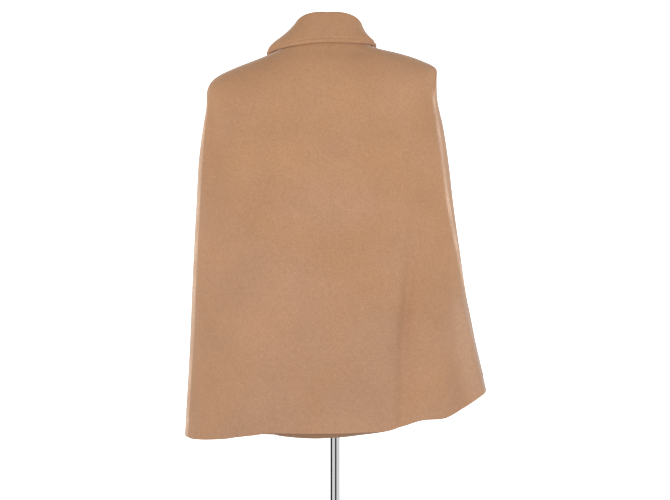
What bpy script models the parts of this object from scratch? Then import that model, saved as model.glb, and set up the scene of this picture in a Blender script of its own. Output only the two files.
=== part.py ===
"""Wool cape on a limbless dress form with a pole stand.

Metres, +Z up. The origin is on the floor under the middle of the pole. The cape's front
faces -Y and its back faces +Y, so the wearer's right hand side is at -X.

The cape is a tube of cloth round the form. A bearing gives a place round the tube, in
degrees: 0 at the centre back, 90 at the wearer's right side, 180 at the centre front and
270 at the wearer's left side. Down gives a place along it: metres from the neck.
"""

import math
from collections import namedtuple

import bmesh
import bpy
import numpy as np
from mathutils import Matrix, Vector

# Gaps and cloth
GAP = 0.0003  # between pieces that meet
WOOL = 0.003  # one layer of coating wool
HEM_WOOL = 0.0055  # where the cloth is turned up or turned back
HEM_TURN = 0.040  # depth of the turned-up hem
EDGE_TURN = 0.045  # width of the turned-back front edge
TURN_STEP = 0.003  # length over which the wall thickens at a turn

# Closing at the centre front
OVERLAP = 0.025  # each front passes the centre front by this much
TUCK = 0.0066  # how far the left front dips to pass under the right front
TUCK_START = 0.095  # from the centre front to where the left front starts to dip
TUCK_END = 0.050  # from the centre front to where it has dipped fully

# Collar
COLLAR_WALL = 0.005  # upper and under collar together
ROLL_RADIUS = 0.0045  # middle of the wall at the roll line
COLLAR_END = 178.6  # bearing of the collar's front end, mirrored on the left

# Buttons
BUTTON_COUNT = 4
BUTTON_FIRST = 0.113  # down from the neck, just under the collar
BUTTON_STEP = 0.118
BUTTON_RADIUS = 0.0135
BUTTON_THICK = 0.0042
BUTTON_RIM = 0.0026  # width of the raised rim
BUTTON_DISH = 0.0010  # depth of the dish inside the rim
BUTTON_EDGE = 0.0012  # bevel round the back and slope of the dish
BUTTON_HOLE = 0.0012  # radius of a hole
BUTTON_HOLE_PITCH = 0.0030  # from the middle to a hole
BUTTON_SEAT = 0.0006  # between a button and the cloth, where the thread is

# Stand
BASE_RADIUS = 0.165
BASE_THICK = 0.007
BASE_BEVEL = 0.0025
POLE_RADIUS = 0.0100
HUB_RADIUS = 0.026
HUB_HEIGHT = 0.045
HUB_FOOT = 0.008  # height of the hub's straight foot
HUB_WALL = 0.004  # at the hub's upper edge
SOCKET_RADIUS = 0.030
SOCKET_HEIGHT = 0.022
SOCKET_FLANGE = 0.005  # thickness of the flange under the form
SOCKET_WALL = 0.005

# Mesh density
BACK_COLUMNS = 32
FRONT_COLUMNS = 20
RING_SAMPLES = 90  # samples in each quarter of a ring, before it is spaced evenly
FORM_COLUMNS = 40
ROUND_SEGMENTS = 40

# The cape's sections, from the neck to the hem.
# middle: x of the centre back and the centre front
# *_n: squareness of the back half and of the front half, 2 is an ellipse
# seam_r, seam_l: bearings of the side seams
Section = namedtuple(
    "Section",
    "down middle back_y back_z right_x right_y right_z front_y front_z left_x left_y left_z "
    "back_n front_n seam_r seam_l",
)
SECTIONS = [
    Section(0.000, 0.017, 0.062, 1.413, -0.064, -0.006, 1.393, -0.088, 1.352,
            0.098, -0.006, 1.387, 2.0, 2.0, 90, 270),
    Section(0.040, 0.021, 0.085, 1.380, -0.090, -0.006, 1.3835, -0.118, 1.310,
            0.140, -0.006, 1.3690, 2.0, 2.0, 90, 270),
    Section(0.085, 0.024, 0.101, 1.341, -0.131, -0.006, 1.3750, -0.138, 1.264,
            0.185, -0.006, 1.3520, 2.1, 2.1, 89, 270),
    Section(0.130, 0.025, 0.112, 1.302, -0.171, -0.007, 1.3635, -0.151, 1.222,
            0.224, -0.006, 1.3365, 2.2, 2.2, 86, 270),
    Section(0.165, 0.025, 0.118, 1.272, -0.203, -0.008, 1.3485, -0.158, 1.190,
            0.248, -0.006, 1.3245, 2.3, 2.3, 82, 271),
    Section(0.185, 0.025, 0.121, 1.254, -0.2142, -0.010, 1.3360, -0.161, 1.172,
            0.2625, -0.006, 1.3120, 2.35, 2.35, 79, 272),
    Section(0.205, 0.025, 0.1235, 1.236, -0.2156, -0.012, 1.3170, -0.164, 1.153,
            0.2700, -0.006, 1.2955, 2.4, 2.35, 76, 274),
    Section(0.240, 0.025, 0.126, 1.204, -0.2170, -0.018, 1.2840, -0.168, 1.120,
            0.2712, -0.006, 1.2650, 2.4, 2.3, 72, 278),
    Section(0.310, 0.023, 0.129, 1.137, -0.2320, -0.028, 1.2145, -0.173, 1.052,
            0.2810, -0.006, 1.2000, 2.4, 2.2, 69, 283),
    Section(0.380, 0.020, 0.132, 1.070, -0.2430, -0.032, 1.1430, -0.177, 0.985,
            0.2880, -0.006, 1.1350, 2.35, 2.2, 68, 285),
    Section(0.470, 0.016, 0.138, 0.982, -0.2520, -0.033, 1.0520, -0.182, 0.900,
            0.2920, -0.006, 1.0450, 2.3, 2.2, 70, 285),
    Section(0.570, 0.010, 0.147, 0.884, -0.2640, -0.030, 0.9500, -0.188, 0.812,
            0.2965, -0.006, 0.9300, 2.3, 2.2, 76, 285),
    Section(0.670, 0.005, 0.158, 0.785, -0.2770, -0.030, 0.8500, -0.195, 0.726,
            0.3015, -0.006, 0.8150, 2.25, 2.2, 85, 285),
    Section(0.760, 0.002, 0.172, 0.694, -0.2950, -0.036, 0.7630, -0.201, 0.648,
            0.3060, -0.005, 0.7080, 2.2, 2.2, 93, 284),
    Section(0.870, 0.000, 0.190, 0.584, -0.3200, -0.046, 0.6640, -0.210, 0.557,
            0.3125, -0.002, 0.5720, 2.2, 2.2, 98, 284),
]
HEM_DOWN = SECTIONS[-1].down
HEM_BAND = HEM_DOWN - HEM_TURN

# The levels of the mesh's rows, closer together where the cloth breaks over the shoulder.
ROWS = [
    0.000, 0.020, 0.040, 0.063, 0.086, 0.110, 0.134, 0.154, 0.170, 0.183, 0.195, 0.210, 0.235,
    0.275, 0.325, 0.385, 0.455, 0.530, 0.605, 0.680, 0.755,
    HEM_BAND - TURN_STEP, HEM_BAND, HEM_DOWN,
]

# Folds and flutes. Each runs from its start to the hem or fades out before it.
# bearing_top, bearing_low: where its middle lies at its start and at its end
# reach: half of its width in degrees; depth: outwards, so a trough is negative
Fold = namedtuple("Fold", "start end bearing_top bearing_low reach depth")
FOLDS = [
    Fold(0.42, 0.99, 36, 21, 8, -0.010),
    Fold(0.40, 0.80, 31, 14, 8, 0.004),
    Fold(0.62, 0.99, 55, 52, 8, -0.012),
    Fold(0.60, 0.99, 68, 70, 9, 0.006),
    Fold(0.78, 0.95, 338, 337, 5, -0.004),
    Fold(0.22, 0.44, 300, 304, 10, -0.005),
    Fold(0.30, 0.99, 118, 122, 10, -0.010),
    Fold(0.36, 0.99, 142, 150, 9, 0.008),
    Fold(0.34, 0.99, 246, 240, 10, -0.010),
    Fold(0.45, 0.99, 222, 214, 9, 0.007),
]

# How far the hem hangs under the sections' own level, at bearings from -180 to 180.
Hem = namedtuple("Hem", "bearing drop")
HEM = [
    Hem(-180, 0.0000), Hem(-120, 0.0000), Hem(-92, 0.0010), Hem(-74, 0.0065), Hem(-52, 0.0065),
    Hem(-43, 0.0045), Hem(-30, -0.0005), Hem(-22, -0.0030), Hem(-15, 0.0010), Hem(0, 0.0000),
    Hem(15, 0.0040), Hem(21, -0.0020), Hem(29, -0.0046), Hem(36, 0.0020), Hem(42, 0.0085),
    Hem(52, 0.0080), Hem(65, 0.0030), Hem(85, 0.0000), Hem(180, 0.0000),
]
HEM_FADE = 0.10  # length above the hem over which the drop fades in

# The collar, at bearings that are mirrored for the left side.
# stand: height of the roll line over the neck; lean: how far the roll line leans inwards
# reach_r, reach_l: how far down the cape the outer edge lies
# bow_r, bow_l: outward bow of the fall
CollarRow = namedtuple(
    "CollarRow", "bearing stand_r stand_l lean_r lean_l reach_r reach_l bow_r bow_l"
)
COLLAR = [
    CollarRow(0, 0.0262, 0.0262, 0.002, 0.002, 0.0410, 0.0410, 0.001, 0.001),
    CollarRow(35, 0.0325, 0.0325, 0.008, 0.009, 0.0400, 0.0425, 0.001, 0.002),
    CollarRow(65, 0.0370, 0.0365, 0.014, 0.016, 0.0355, 0.0410, 0.001, 0.003),
    CollarRow(90, 0.0370, 0.0365, 0.016, 0.018, 0.0340, 0.0400, 0.001, 0.004),
    CollarRow(120, 0.0300, 0.0300, 0.011, 0.013, 0.0460, 0.0490, 0.003, 0.004),
    CollarRow(150, 0.0190, 0.0190, 0.004, 0.004, 0.0660, 0.0660, 0.004, 0.004),
    CollarRow(170, 0.0120, 0.0120, 0.000, 0.000, 0.0800, 0.0800, 0.004, 0.004),
    CollarRow(180, 0.0100, 0.0100, -0.002, -0.002, 0.0840, 0.0840, 0.004, 0.004),
]
COLLAR_STEP = 8.1  # degrees between the collar's stations
COLLAR_SEAT = 0.0024  # from the middle of the cape's neck edge up to the collar
COLLAR_LIFT = 0.0008  # the under collar's edge lies this far over the cape
BOW_PLACE = 0.7  # along the fall
STAND_POINTS = 2
ROLL_POINTS = 4
FALL_POINTS = 4

# The dress form, from its underside to its neck.
FormRow = namedtuple("FormRow", "z half_width back_y front_y n")
FORM = [
    FormRow(0.700, 0.140, 0.098, -0.094, 2.2),
    FormRow(0.712, 0.152, 0.108, -0.102, 2.2),
    FormRow(0.800, 0.170, 0.118, -0.108, 2.2),
    FormRow(0.880, 0.164, 0.109, -0.105, 2.2),
    FormRow(0.960, 0.132, 0.085, -0.092, 2.1),
    FormRow(1.010, 0.122, 0.077, -0.086, 2.1),
    FormRow(1.080, 0.131, 0.084, -0.100, 2.1),
    FormRow(1.150, 0.148, 0.097, -0.138, 2.1),
    FormRow(1.190, 0.156, 0.101, -0.142, 2.1),
    FormRow(1.240, 0.168, 0.101, -0.122, 2.2),
    FormRow(1.285, 0.182, 0.094, -0.096, 2.2),
    FormRow(1.315, 0.190, 0.082, -0.078, 2.2),
    FormRow(1.3360, 0.191, 0.066, -0.064, 2.2),
    FormRow(1.3460, 0.184, 0.058, -0.058, 2.2),
    FormRow(1.3560, 0.164, 0.053, -0.054, 2.2),
    FormRow(1.3670, 0.130, 0.050, -0.051, 2.1),
    FormRow(1.3760, 0.090, 0.048, -0.050, 2.0),
    FormRow(1.386, 0.060, 0.046, -0.050, 2.0),
    FormRow(1.398, 0.051, 0.044, -0.048, 2.0),
]
NECK_CAP = [
    FormRow(1.3983, 0.0505, 0.0435, -0.0475, 2.0),
    FormRow(1.4060, 0.0500, 0.0430, -0.0470, 2.0),
    FormRow(1.4110, 0.0440, 0.0370, -0.0410, 2.0),
]


def clear_scene():
    """Removes the objects that the file was opened with."""
    for found in list(bpy.data.objects):
        bpy.data.objects.remove(found, do_unlink=True)


def material(name, colour, roughness, metallic=0.0):
    """A Principled material with one colour."""
    made = bpy.data.materials.new(name)
    made.use_nodes = True
    shader = made.node_tree.nodes["Principled BSDF"]
    shader.inputs["Base Color"].default_value = (*colour, 1.0)
    shader.inputs["Roughness"].default_value = roughness
    shader.inputs["Metallic"].default_value = metallic
    return made


def add_object(name, vertices, faces, finish, smooth_angle=None):
    """A mesh object made from a list of points and a list of faces."""
    mesh = bpy.data.meshes.new(name)
    mesh.from_pydata([tuple(map(float, v)) for v in vertices], [], faces)
    mesh.materials.append(finish)
    made = bpy.data.objects.new(name, mesh)
    bpy.context.scene.collection.objects.link(made)
    outward(mesh)
    if smooth_angle is not None:
        mesh.shade_smooth()
        mesh.set_sharp_from_angle(angle=math.radians(smooth_angle))
    return made


def outward(mesh):
    """Turns a closed mesh's faces outwards."""
    edit = bmesh.new()
    edit.from_mesh(mesh)
    bmesh.ops.recalc_face_normals(edit, faces=edit.faces)
    edit.to_mesh(mesh)
    edit.free()


def smooth_step(value):
    """0 below 0, 1 above 1, and a smooth rise between."""
    value = min(max(value, 0.0), 1.0)
    return value * value * (3 - 2 * value)


def slopes(places, values):
    """Slopes for a cubic through the values that doesn't overshoot them."""
    steps = np.diff(places)
    rises = np.diff(values, axis=0) / steps[:, None]
    found = np.zeros_like(values)
    before, after = rises[:-1], rises[1:]
    agree = before * after > 0
    weight_a = (2 * steps[1:] + steps[:-1])[:, None]
    weight_b = (steps[1:] + 2 * steps[:-1])[:, None]
    safe_before = np.where(agree, before, 1.0)
    safe_after = np.where(agree, after, 1.0)
    mean = (weight_a + weight_b) / (weight_a / safe_before + weight_b / safe_after)
    found[1:-1] = np.where(agree, mean, 0.0)
    found[0], found[-1] = rises[0], rises[-1]
    return found


class Table:
    """Reads a table of named rows smoothly between its rows, by its first column."""

    def __init__(self, rows):
        self.make = type(rows[0])
        data = np.array([tuple(r) for r in rows], float)
        self.places, self.values = data[:, 0], data[:, 1:]
        self.slopes = slopes(self.places, self.values)

    def at(self, place):
        place = min(max(place, self.places[0]), self.places[-1])
        i = int(min(np.searchsorted(self.places, place, "right"), len(self.places) - 1)) - 1
        step = self.places[i + 1] - self.places[i]
        t = (place - self.places[i]) / step
        low, high = self.values[i], self.values[i + 1]
        value = (
            low * (1 + 2 * t) * (1 - t) ** 2
            + self.slopes[i] * step * t * (1 - t) ** 2
            + high * t * t * (3 - 2 * t)
            + self.slopes[i + 1] * step * t * t * (t - 1)
        )
        return self.make(place, *value)


CAPE = Table(SECTIONS)
HEM_TABLE = Table(HEM)
COLLAR_TABLE = Table(COLLAR)


def power(value, exponent):
    """A power of a number that may be a hair under zero."""
    return max(value, 0.0) ** exponent


def ring_point(section, bearing):
    """The point of a section's ring at a bearing, without folds."""
    bearing %= 360.0
    back = bearing <= 90 or bearing >= 270
    right = bearing <= 180
    end_x, end_y, end_z = (
        (section.right_x, section.right_y, section.right_z)
        if right
        else (section.left_x, section.left_y, section.left_z)
    )
    mid_y, mid_z = (
        (section.back_y, section.back_z) if back else (section.front_y, section.front_z)
    )
    sine = abs(math.sin(math.radians(bearing)))
    cosine = abs(math.cos(math.radians(bearing)))
    exponent = 2 / (section.back_n if back else section.front_n)
    return Vector((
        section.middle + (end_x - section.middle) * power(sine, exponent),
        end_y + (mid_y - end_y) * power(cosine, exponent),
        mid_z + (end_z - mid_z) * sine * sine,
    ))


def fold_depth(bearing, down):
    """How far the folds move the cloth outwards at a place."""
    total = 0.0
    for fold in FOLDS:
        along = (down - fold.start) / (fold.end - fold.start)
        if not 0 < along < 1:
            continue
        middle = fold.bearing_top + (fold.bearing_low - fold.bearing_top) * along
        across = (bearing - middle + 180) % 360 - 180
        fade = smooth_step(along / 0.5) * smooth_step((1 - along) / 0.08)
        total += fold.depth * fade * math.exp(-((across / fold.reach) ** 2) * 1.6)
    return total


def cape_normal(bearing, down):
    """The outward direction of the cloth, without folds."""
    turn, step = 1.5, 0.004
    low, high = max(down - step, 0.0), min(down + step, HEM_DOWN)
    across = ring_point(CAPE.at(down), bearing + turn) - ring_point(CAPE.at(down), bearing - turn)
    along = ring_point(CAPE.at(high), bearing) - ring_point(CAPE.at(low), bearing)
    return along.cross(across).normalized()


def cape_point(bearing, down, lift=0.0):
    """A point on the cape's outer face, moved out by lift."""
    out = cape_normal(bearing, down)
    low = smooth_step((down - HEM_DOWN + HEM_FADE) / HEM_FADE)
    drop = low * HEM_TABLE.at((bearing + 180) % 360 - 180).drop
    point = ring_point(CAPE.at(down), bearing) + out * (fold_depth(bearing, down) + lift)
    return point - Vector((0, 0, drop))


def ring_lengths(down, start, end):
    """Bearings from start to end in small steps, and the length of the ring up to each."""
    section = CAPE.at(down)
    count = max(int(abs(end - start) / 90 * RING_SAMPLES), 8)
    bearings = np.linspace(start, end, count + 1)
    points = np.array([ring_point(section, b) for b in bearings])
    steps = np.linalg.norm(np.diff(points, axis=0), axis=1)
    return bearings, np.concatenate([[0.0], np.cumsum(steps)])


def bearing_past(down, start, distance, towards):
    """The bearing that lies a distance along the ring from start."""
    bearings, lengths = ring_lengths(down, start, towards)
    return float(np.interp(distance, lengths, bearings))


def seam_bearings(down):
    """The bearings of the right and the left side seam."""
    section = CAPE.at(down)
    return section.seam_r, section.seam_l


def panel(name, edges, columns, finish, tuck=None, turned_edge=False):
    """A cloth panel between two edges, as a closed wall.

    edges gives the start and end bearing at a level, and tuck how far the cloth dips there.
    With turned_edge the panel's end is doubled by its turned-back edge.
    """
    outer, inner = [], []
    for down in ROWS:
        start, end = edges(down)
        bearings, lengths = ring_lengths(down, start, end)
        width = lengths[-1]
        inside = width - EDGE_TURN
        if turned_edge:
            places = list(np.linspace(GAP / 2, inside - TURN_STEP, columns - 2))
            places += [inside, inside + EDGE_TURN / 2, width]
        else:
            places = np.linspace(GAP / 2, width - GAP / 2, columns + 1)
        for place in places:
            bearing = float(np.interp(place, lengths, bearings))
            dip = tuck(bearing, down) if tuck else 0.0
            doubled = down >= HEM_BAND or turned_edge and place >= inside
            outer.append(cape_point(bearing, down, -dip))
            inner.append(cape_point(bearing, down, -dip - (HEM_WOOL if doubled else WOOL)))
    return wall(name, outer, inner, len(ROWS), len(outer) // len(ROWS), finish)


def wall(name, outer, inner, rows, columns, finish):
    """A closed wall from two grids of points of the same size."""
    faces, count = [], rows * columns
    for r in range(rows - 1):
        for c in range(columns - 1):
            a, b = r * columns + c, r * columns + c + 1
            d, e = a + columns, b + columns
            faces.append((a, b, e, d))
            faces.append((count + a, count + d, count + e, count + b))
    rim = list(range(columns))
    rim += [r * columns + columns - 1 for r in range(1, rows)]
    rim += [(rows - 1) * columns + c for c in range(columns - 2, -1, -1)]
    rim += [r * columns for r in range(rows - 2, 0, -1)]
    for a, b in zip(rim, rim[1:] + rim[:1]):
        faces.append((a, count + a, count + b, b))
    return add_object(name, outer + inner, faces, finish, smooth_angle=50)


def back_edges(down):
    """The back runs from the left seam through the centre back to the right seam."""
    right, left = seam_bearings(down)
    return left - 360, right


def front_right_edges(down):
    """The right front runs from the right seam past the centre front."""
    return seam_bearings(down)[0], bearing_past(down, 180, OVERLAP, 260)


def front_left_edges(down):
    """The left front runs from the left seam past the centre front."""
    return seam_bearings(down)[1], bearing_past(down, 180, OVERLAP, 100)


def left_tuck(bearing, down):
    """How far the left front dips so that it passes under the right front."""
    if bearing <= 180:
        return TUCK
    near = bearing_past(down, 180, TUCK_END, 262)
    far = bearing_past(down, 180, TUCK_START, 262)
    return TUCK * smooth_step((far - bearing) / (far - near))


def collar_profile(bearing):
    """The middle line of the collar's wall at a bearing, from the neck seam to the edge."""
    mirrored = bearing > 180
    row = COLLAR_TABLE.at(360 - bearing if mirrored else bearing)
    stand, lean, reach, bow = (
        (row.stand_l, row.lean_l, row.reach_l, row.bow_l)
        if mirrored
        else (row.stand_r, row.lean_r, row.reach_r, row.bow_r)
    )
    base = cape_point(bearing, 0.0, -WOOL / 2)
    hub = Vector((CAPE.at(0).middle, -0.006, base.z))
    out = (base - hub).normalized()
    up = Vector((0, 0, 1))
    base += up * COLLAR_SEAT
    top = base + up * stand - out * lean
    points = [base.lerp(top, i / STAND_POINTS) for i in range(STAND_POINTS)]
    middle = top + out * ROLL_RADIUS
    for i in range(ROLL_POINTS + 1):
        angle = math.pi * (1 - i / ROLL_POINTS)
        points.append(middle + (out * math.cos(angle) + up * math.sin(angle)) * ROLL_RADIUS)
    start = points[-1]
    edge = cape_point(bearing, reach, COLLAR_LIFT + COLLAR_WALL / 2)
    above = out.cross(up).cross(edge - start).normalized()
    bend = start.lerp(edge, BOW_PLACE) + above * (2 * bow)
    for i in range(1, FALL_POINTS + 1):
        t = i / FALL_POINTS
        points.append(start * (1 - t) ** 2 + bend * 2 * t * (1 - t) + edge * t * t)
    return points, out


def build_collar(finish):
    """The collar: one doubled wall that stands, rolls over and falls to its outer edge."""
    stations = int(round(2 * COLLAR_END / COLLAR_STEP))
    outer, inner = [], []
    for i in range(stations + 1):
        bearing = (COLLAR_END - 2 * COLLAR_END * i / stations) % 360
        points, out = collar_profile(bearing)
        across = out.cross(Vector((0, 0, 1)))
        for k, point in enumerate(points):
            ahead = points[min(k + 1, len(points) - 1)] - points[max(k - 1, 0)]
            side = across.cross(ahead).normalized() * (COLLAR_WALL / 2)
            outer.append(point + side)
            inner.append(point - side)
    columns = len(outer) // (stations + 1)
    return wall("collar", outer, inner, stations + 1, columns, finish)


def slices(name, rows, columns, finish):
    """A solid of stacked superellipse slices with flat ends."""
    points = []
    for row in rows:
        for i in range(columns):
            turn = 2 * math.pi * i / columns
            sine, cosine = math.sin(turn), math.cos(turn)
            x = math.copysign(abs(sine) ** (2 / row.n), sine) * row.half_width
            depth = row.back_y if cosine > 0 else -row.front_y
            y = math.copysign(abs(cosine) ** (2 / row.n), cosine) * depth
            points.append((x, y, row.z))
    faces = []
    for r in range(len(rows) - 1):
        for c in range(columns):
            a, b = r * columns + c, r * columns + (c + 1) % columns
            faces.append((a, b, b + columns, a + columns))
    faces.append(tuple(range(columns)))
    faces.append(tuple((len(rows) - 1) * columns + c for c in range(columns)))
    return add_object(name, points, faces, finish, smooth_angle=50)


def turned_solid(name, profile, finish):
    """A solid turned about the Z axis from a closed profile of (radius, height) points."""
    points = [
        (radius * math.cos(2 * math.pi * i / ROUND_SEGMENTS),
         radius * math.sin(2 * math.pi * i / ROUND_SEGMENTS), z)
        for i in range(ROUND_SEGMENTS)
        for radius, z in profile
    ]
    count, faces = len(profile), []
    for i in range(ROUND_SEGMENTS):
        j = (i + 1) % ROUND_SEGMENTS
        for k in range(count):
            m = (k + 1) % count
            faces.append((i * count + k, i * count + m, j * count + m, j * count + k))
    return add_object(name, points, faces, finish, smooth_angle=30)


def disc_plate(name, radius, thick, bevel, finish):
    """A round plate with a bevelled upper edge, standing on z = 0."""
    rows = [
        FormRow(0.0, radius, radius, -radius, 2.0),
        FormRow(thick - bevel, radius, radius, -radius, 2.0),
        FormRow(thick, radius - bevel, radius - bevel, bevel - radius, 2.0),
    ]
    return slices(name, rows, ROUND_SEGMENTS, finish)


def build_stand(finish):
    """The base plate, its hub, the pole, and the socket under the form."""
    disc_plate("base_plate", BASE_RADIUS, BASE_THICK, BASE_BEVEL, finish)
    low, inner = BASE_THICK + GAP, POLE_RADIUS + GAP
    high = low + HUB_HEIGHT
    turned_solid("base_hub", [
        (inner, low), (HUB_RADIUS, low), (HUB_RADIUS, low + HUB_FOOT),
        (inner + HUB_WALL, high - HUB_WALL / 2), (inner + HUB_WALL / 2, high), (inner, high),
    ], finish)
    top = FORM[0].z - GAP
    rows = [FormRow(z, POLE_RADIUS, POLE_RADIUS, -POLE_RADIUS, 2.0) for z in (low, top)]
    slices("pole", rows, ROUND_SEGMENTS, finish)
    wall_radius = inner + SOCKET_WALL
    turned_solid("pole_socket", [
        (inner, top - SOCKET_HEIGHT), (wall_radius, top - SOCKET_HEIGHT),
        (wall_radius, top - SOCKET_FLANGE), (SOCKET_RADIUS, top - SOCKET_FLANGE),
        (SOCKET_RADIUS, top), (inner, top),
    ], finish)


def build_form(cover, cap):
    """The dress form's body and the cap on its neck."""
    slices("form_torso", FORM, FORM_COLUMNS, cover)
    slices("form_neck_cap", NECK_CAP, FORM_COLUMNS, cap)


def button_mesh(finish):
    """A round button with a raised rim and four holes, its back on z = 0."""
    radius, low = BUTTON_RADIUS, BUTTON_THICK - BUTTON_DISH
    rows = [
        (radius - BUTTON_EDGE, 0.0), (radius, BUTTON_EDGE), (radius, low),
        (radius - BUTTON_DISH, BUTTON_THICK), (radius - BUTTON_RIM, BUTTON_THICK),
        (radius - BUTTON_RIM - BUTTON_EDGE, low),
    ]
    steps = [FormRow(z, r, r, -r, 2.0) for r, z in rows]
    blank = slices("button_blank", steps, 28, finish)
    edit = bmesh.new()
    for i in range(4):
        turn = math.radians(45 + 90 * i)
        place = Matrix.Translation((
            math.cos(turn) * BUTTON_HOLE_PITCH, math.sin(turn) * BUTTON_HOLE_PITCH,
            BUTTON_THICK / 2,
        ))
        bmesh.ops.create_cone(
            edit, cap_ends=True, segments=10, radius1=BUTTON_HOLE, radius2=BUTTON_HOLE,
            depth=BUTTON_THICK * 2, matrix=place,
        )
    holes = bpy.data.meshes.new("button_holes")
    edit.to_mesh(holes)
    edit.free()
    cutter = bpy.data.objects.new("button_holes", holes)
    bpy.context.scene.collection.objects.link(cutter)
    cut = blank.modifiers.new("holes", "BOOLEAN")
    cut.operation, cut.object, cut.solver = "DIFFERENCE", cutter, "EXACT"
    evaluated = blank.evaluated_get(bpy.context.evaluated_depsgraph_get())
    mesh = bpy.data.meshes.new_from_object(evaluated)
    for spare in (blank, cutter):
        bpy.data.objects.remove(spare, do_unlink=True)
    mesh.name = "button"
    return mesh


def build_buttons(finish):
    """A row of buttons on the right front, at the centre front."""
    mesh = button_mesh(finish)
    for i in range(BUTTON_COUNT):
        down = BUTTON_FIRST + BUTTON_STEP * i
        out = cape_normal(180, down)
        side = Vector((1, 0, 0))
        up = out.cross(side).normalized()
        turn = Matrix((side, up, out)).transposed().to_4x4()
        made = bpy.data.objects.new(f"button_{i + 1}", mesh)
        made.matrix_world = Matrix.Translation(cape_point(180, down, BUTTON_SEAT)) @ turn
        bpy.context.scene.collection.objects.link(made)


def main():
    """Makes every piece."""
    clear_scene()
    wool = material("camel_wool", (0.515, 0.285, 0.165), 0.9)
    horn = material("brown_horn", (0.120, 0.060, 0.030), 0.35)
    jersey = material("form_jersey", (0.720, 0.690, 0.630), 0.85)
    cap = material("beech", (0.560, 0.380, 0.220), 0.5)
    chrome = material("chrome", (0.620, 0.620, 0.630), 0.12, 1.0)
    panel("back", back_edges, BACK_COLUMNS, wool)
    panel("front_right", front_right_edges, FRONT_COLUMNS, wool, turned_edge=True)
    panel("front_left", front_left_edges, FRONT_COLUMNS, wool, tuck=left_tuck, turned_edge=True)
    build_collar(wool)
    build_buttons(horn)
    build_form(jersey, cap)
    build_stand(chrome)


main()
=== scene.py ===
"""The looks of a camel wool cape on a limbless dress form with a chrome pole stand.

Everything is in metres, +Z up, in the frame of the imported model. The cape's front faces -Y and
its back faces +Y, so the wearer's right hand side is at -X. A bearing gives a place round the
cape, in degrees: 0 at the centre back, 90 at the wearer's right side, 180 at the centre front
and 270 at the wearer's left side. Down gives a place along it: metres from the neck.
"""

import logging
import math
from dataclasses import dataclass, field
from enum import Enum
from typing import NamedTuple, Optional, Sequence

import bmesh
import bpy
import numpy as np
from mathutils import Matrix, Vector


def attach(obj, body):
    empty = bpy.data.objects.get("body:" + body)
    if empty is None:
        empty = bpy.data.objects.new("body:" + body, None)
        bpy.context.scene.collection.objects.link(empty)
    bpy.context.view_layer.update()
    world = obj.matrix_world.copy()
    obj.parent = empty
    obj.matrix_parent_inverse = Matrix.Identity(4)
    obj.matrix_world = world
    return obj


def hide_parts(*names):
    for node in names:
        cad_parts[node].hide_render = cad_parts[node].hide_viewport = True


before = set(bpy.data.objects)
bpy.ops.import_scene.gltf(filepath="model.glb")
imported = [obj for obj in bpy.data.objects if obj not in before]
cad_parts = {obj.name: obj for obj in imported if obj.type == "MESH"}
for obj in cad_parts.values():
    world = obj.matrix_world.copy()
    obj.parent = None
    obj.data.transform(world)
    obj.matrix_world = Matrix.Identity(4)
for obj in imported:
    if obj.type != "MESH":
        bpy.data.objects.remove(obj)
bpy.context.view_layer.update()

log = logging.getLogger("cape")

ROOT = "root"
Colour = tuple[float, float, float]
Socket = bpy.types.NodeSocket


class Side(Enum):
    """The wearer's sides."""

    RIGHT = "right"
    LEFT = "left"


class Section(NamedTuple):
    """One section of the cape's tube of cloth, from the neck to the hem."""

    down: float
    middle: float
    back_y: float
    back_z: float
    right_x: float
    right_y: float
    right_z: float
    front_y: float
    front_z: float
    left_x: float
    left_y: float
    left_z: float
    back_n: float
    front_n: float
    seam_r: float
    seam_l: float


class Fold(NamedTuple):
    """A soft trough or ridge that runs down the cloth. A trough's depth is negative."""

    start: float
    end: float
    bearing_top: float
    bearing_low: float
    reach: float
    depth: float


class Spot(NamedTuple):
    """A soft dent or swelling at one place. A dent's depth is negative."""

    down: float
    bearing: float
    reach_down: float
    reach_round: float
    depth: float


class HemRow(NamedTuple):
    """How far the hem hangs under the sections' own level at a bearing."""

    bearing: float
    drop: float


class Curl(NamedTuple):
    """How a panel's edge curls in at a side seam, as a share of the valley's depth."""

    reach: float
    share: float
    ridge: float


class SagRow(NamedTuple):
    """How far the hem's under layer hangs out below the fold at a bearing."""

    bearing: float
    sag: float


class Wave(NamedTuple):
    """Two waves in space, multiplied: each is a sine of a direction times the place."""

    share: float
    first: tuple[float, float, float]
    first_start: float
    second: tuple[float, float, float]
    second_start: float


class Lamp(NamedTuple):
    """A soft square area light. Its target is a place that it faces."""

    name: str
    place: tuple[float, float, float]
    target: tuple[float, float, float]
    size: float
    power: float


class DarkCard(NamedTuple):
    """A dark upright card that faces the object from a place on the floor."""

    x: float
    y: float
    width: float


class CollarRow(NamedTuple):
    """The collar's cross-section at a bearing on the right (r) and its mirror image (l)."""

    bearing: float
    stand_r: float
    stand_l: float
    lean_r: float
    lean_l: float
    reach_r: float
    reach_l: float
    bow_r: float
    bow_l: float


class SeamRow(NamedTuple):
    """How deep the valley along each side seam is at a level."""

    down: float
    right: float
    left: float


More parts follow.
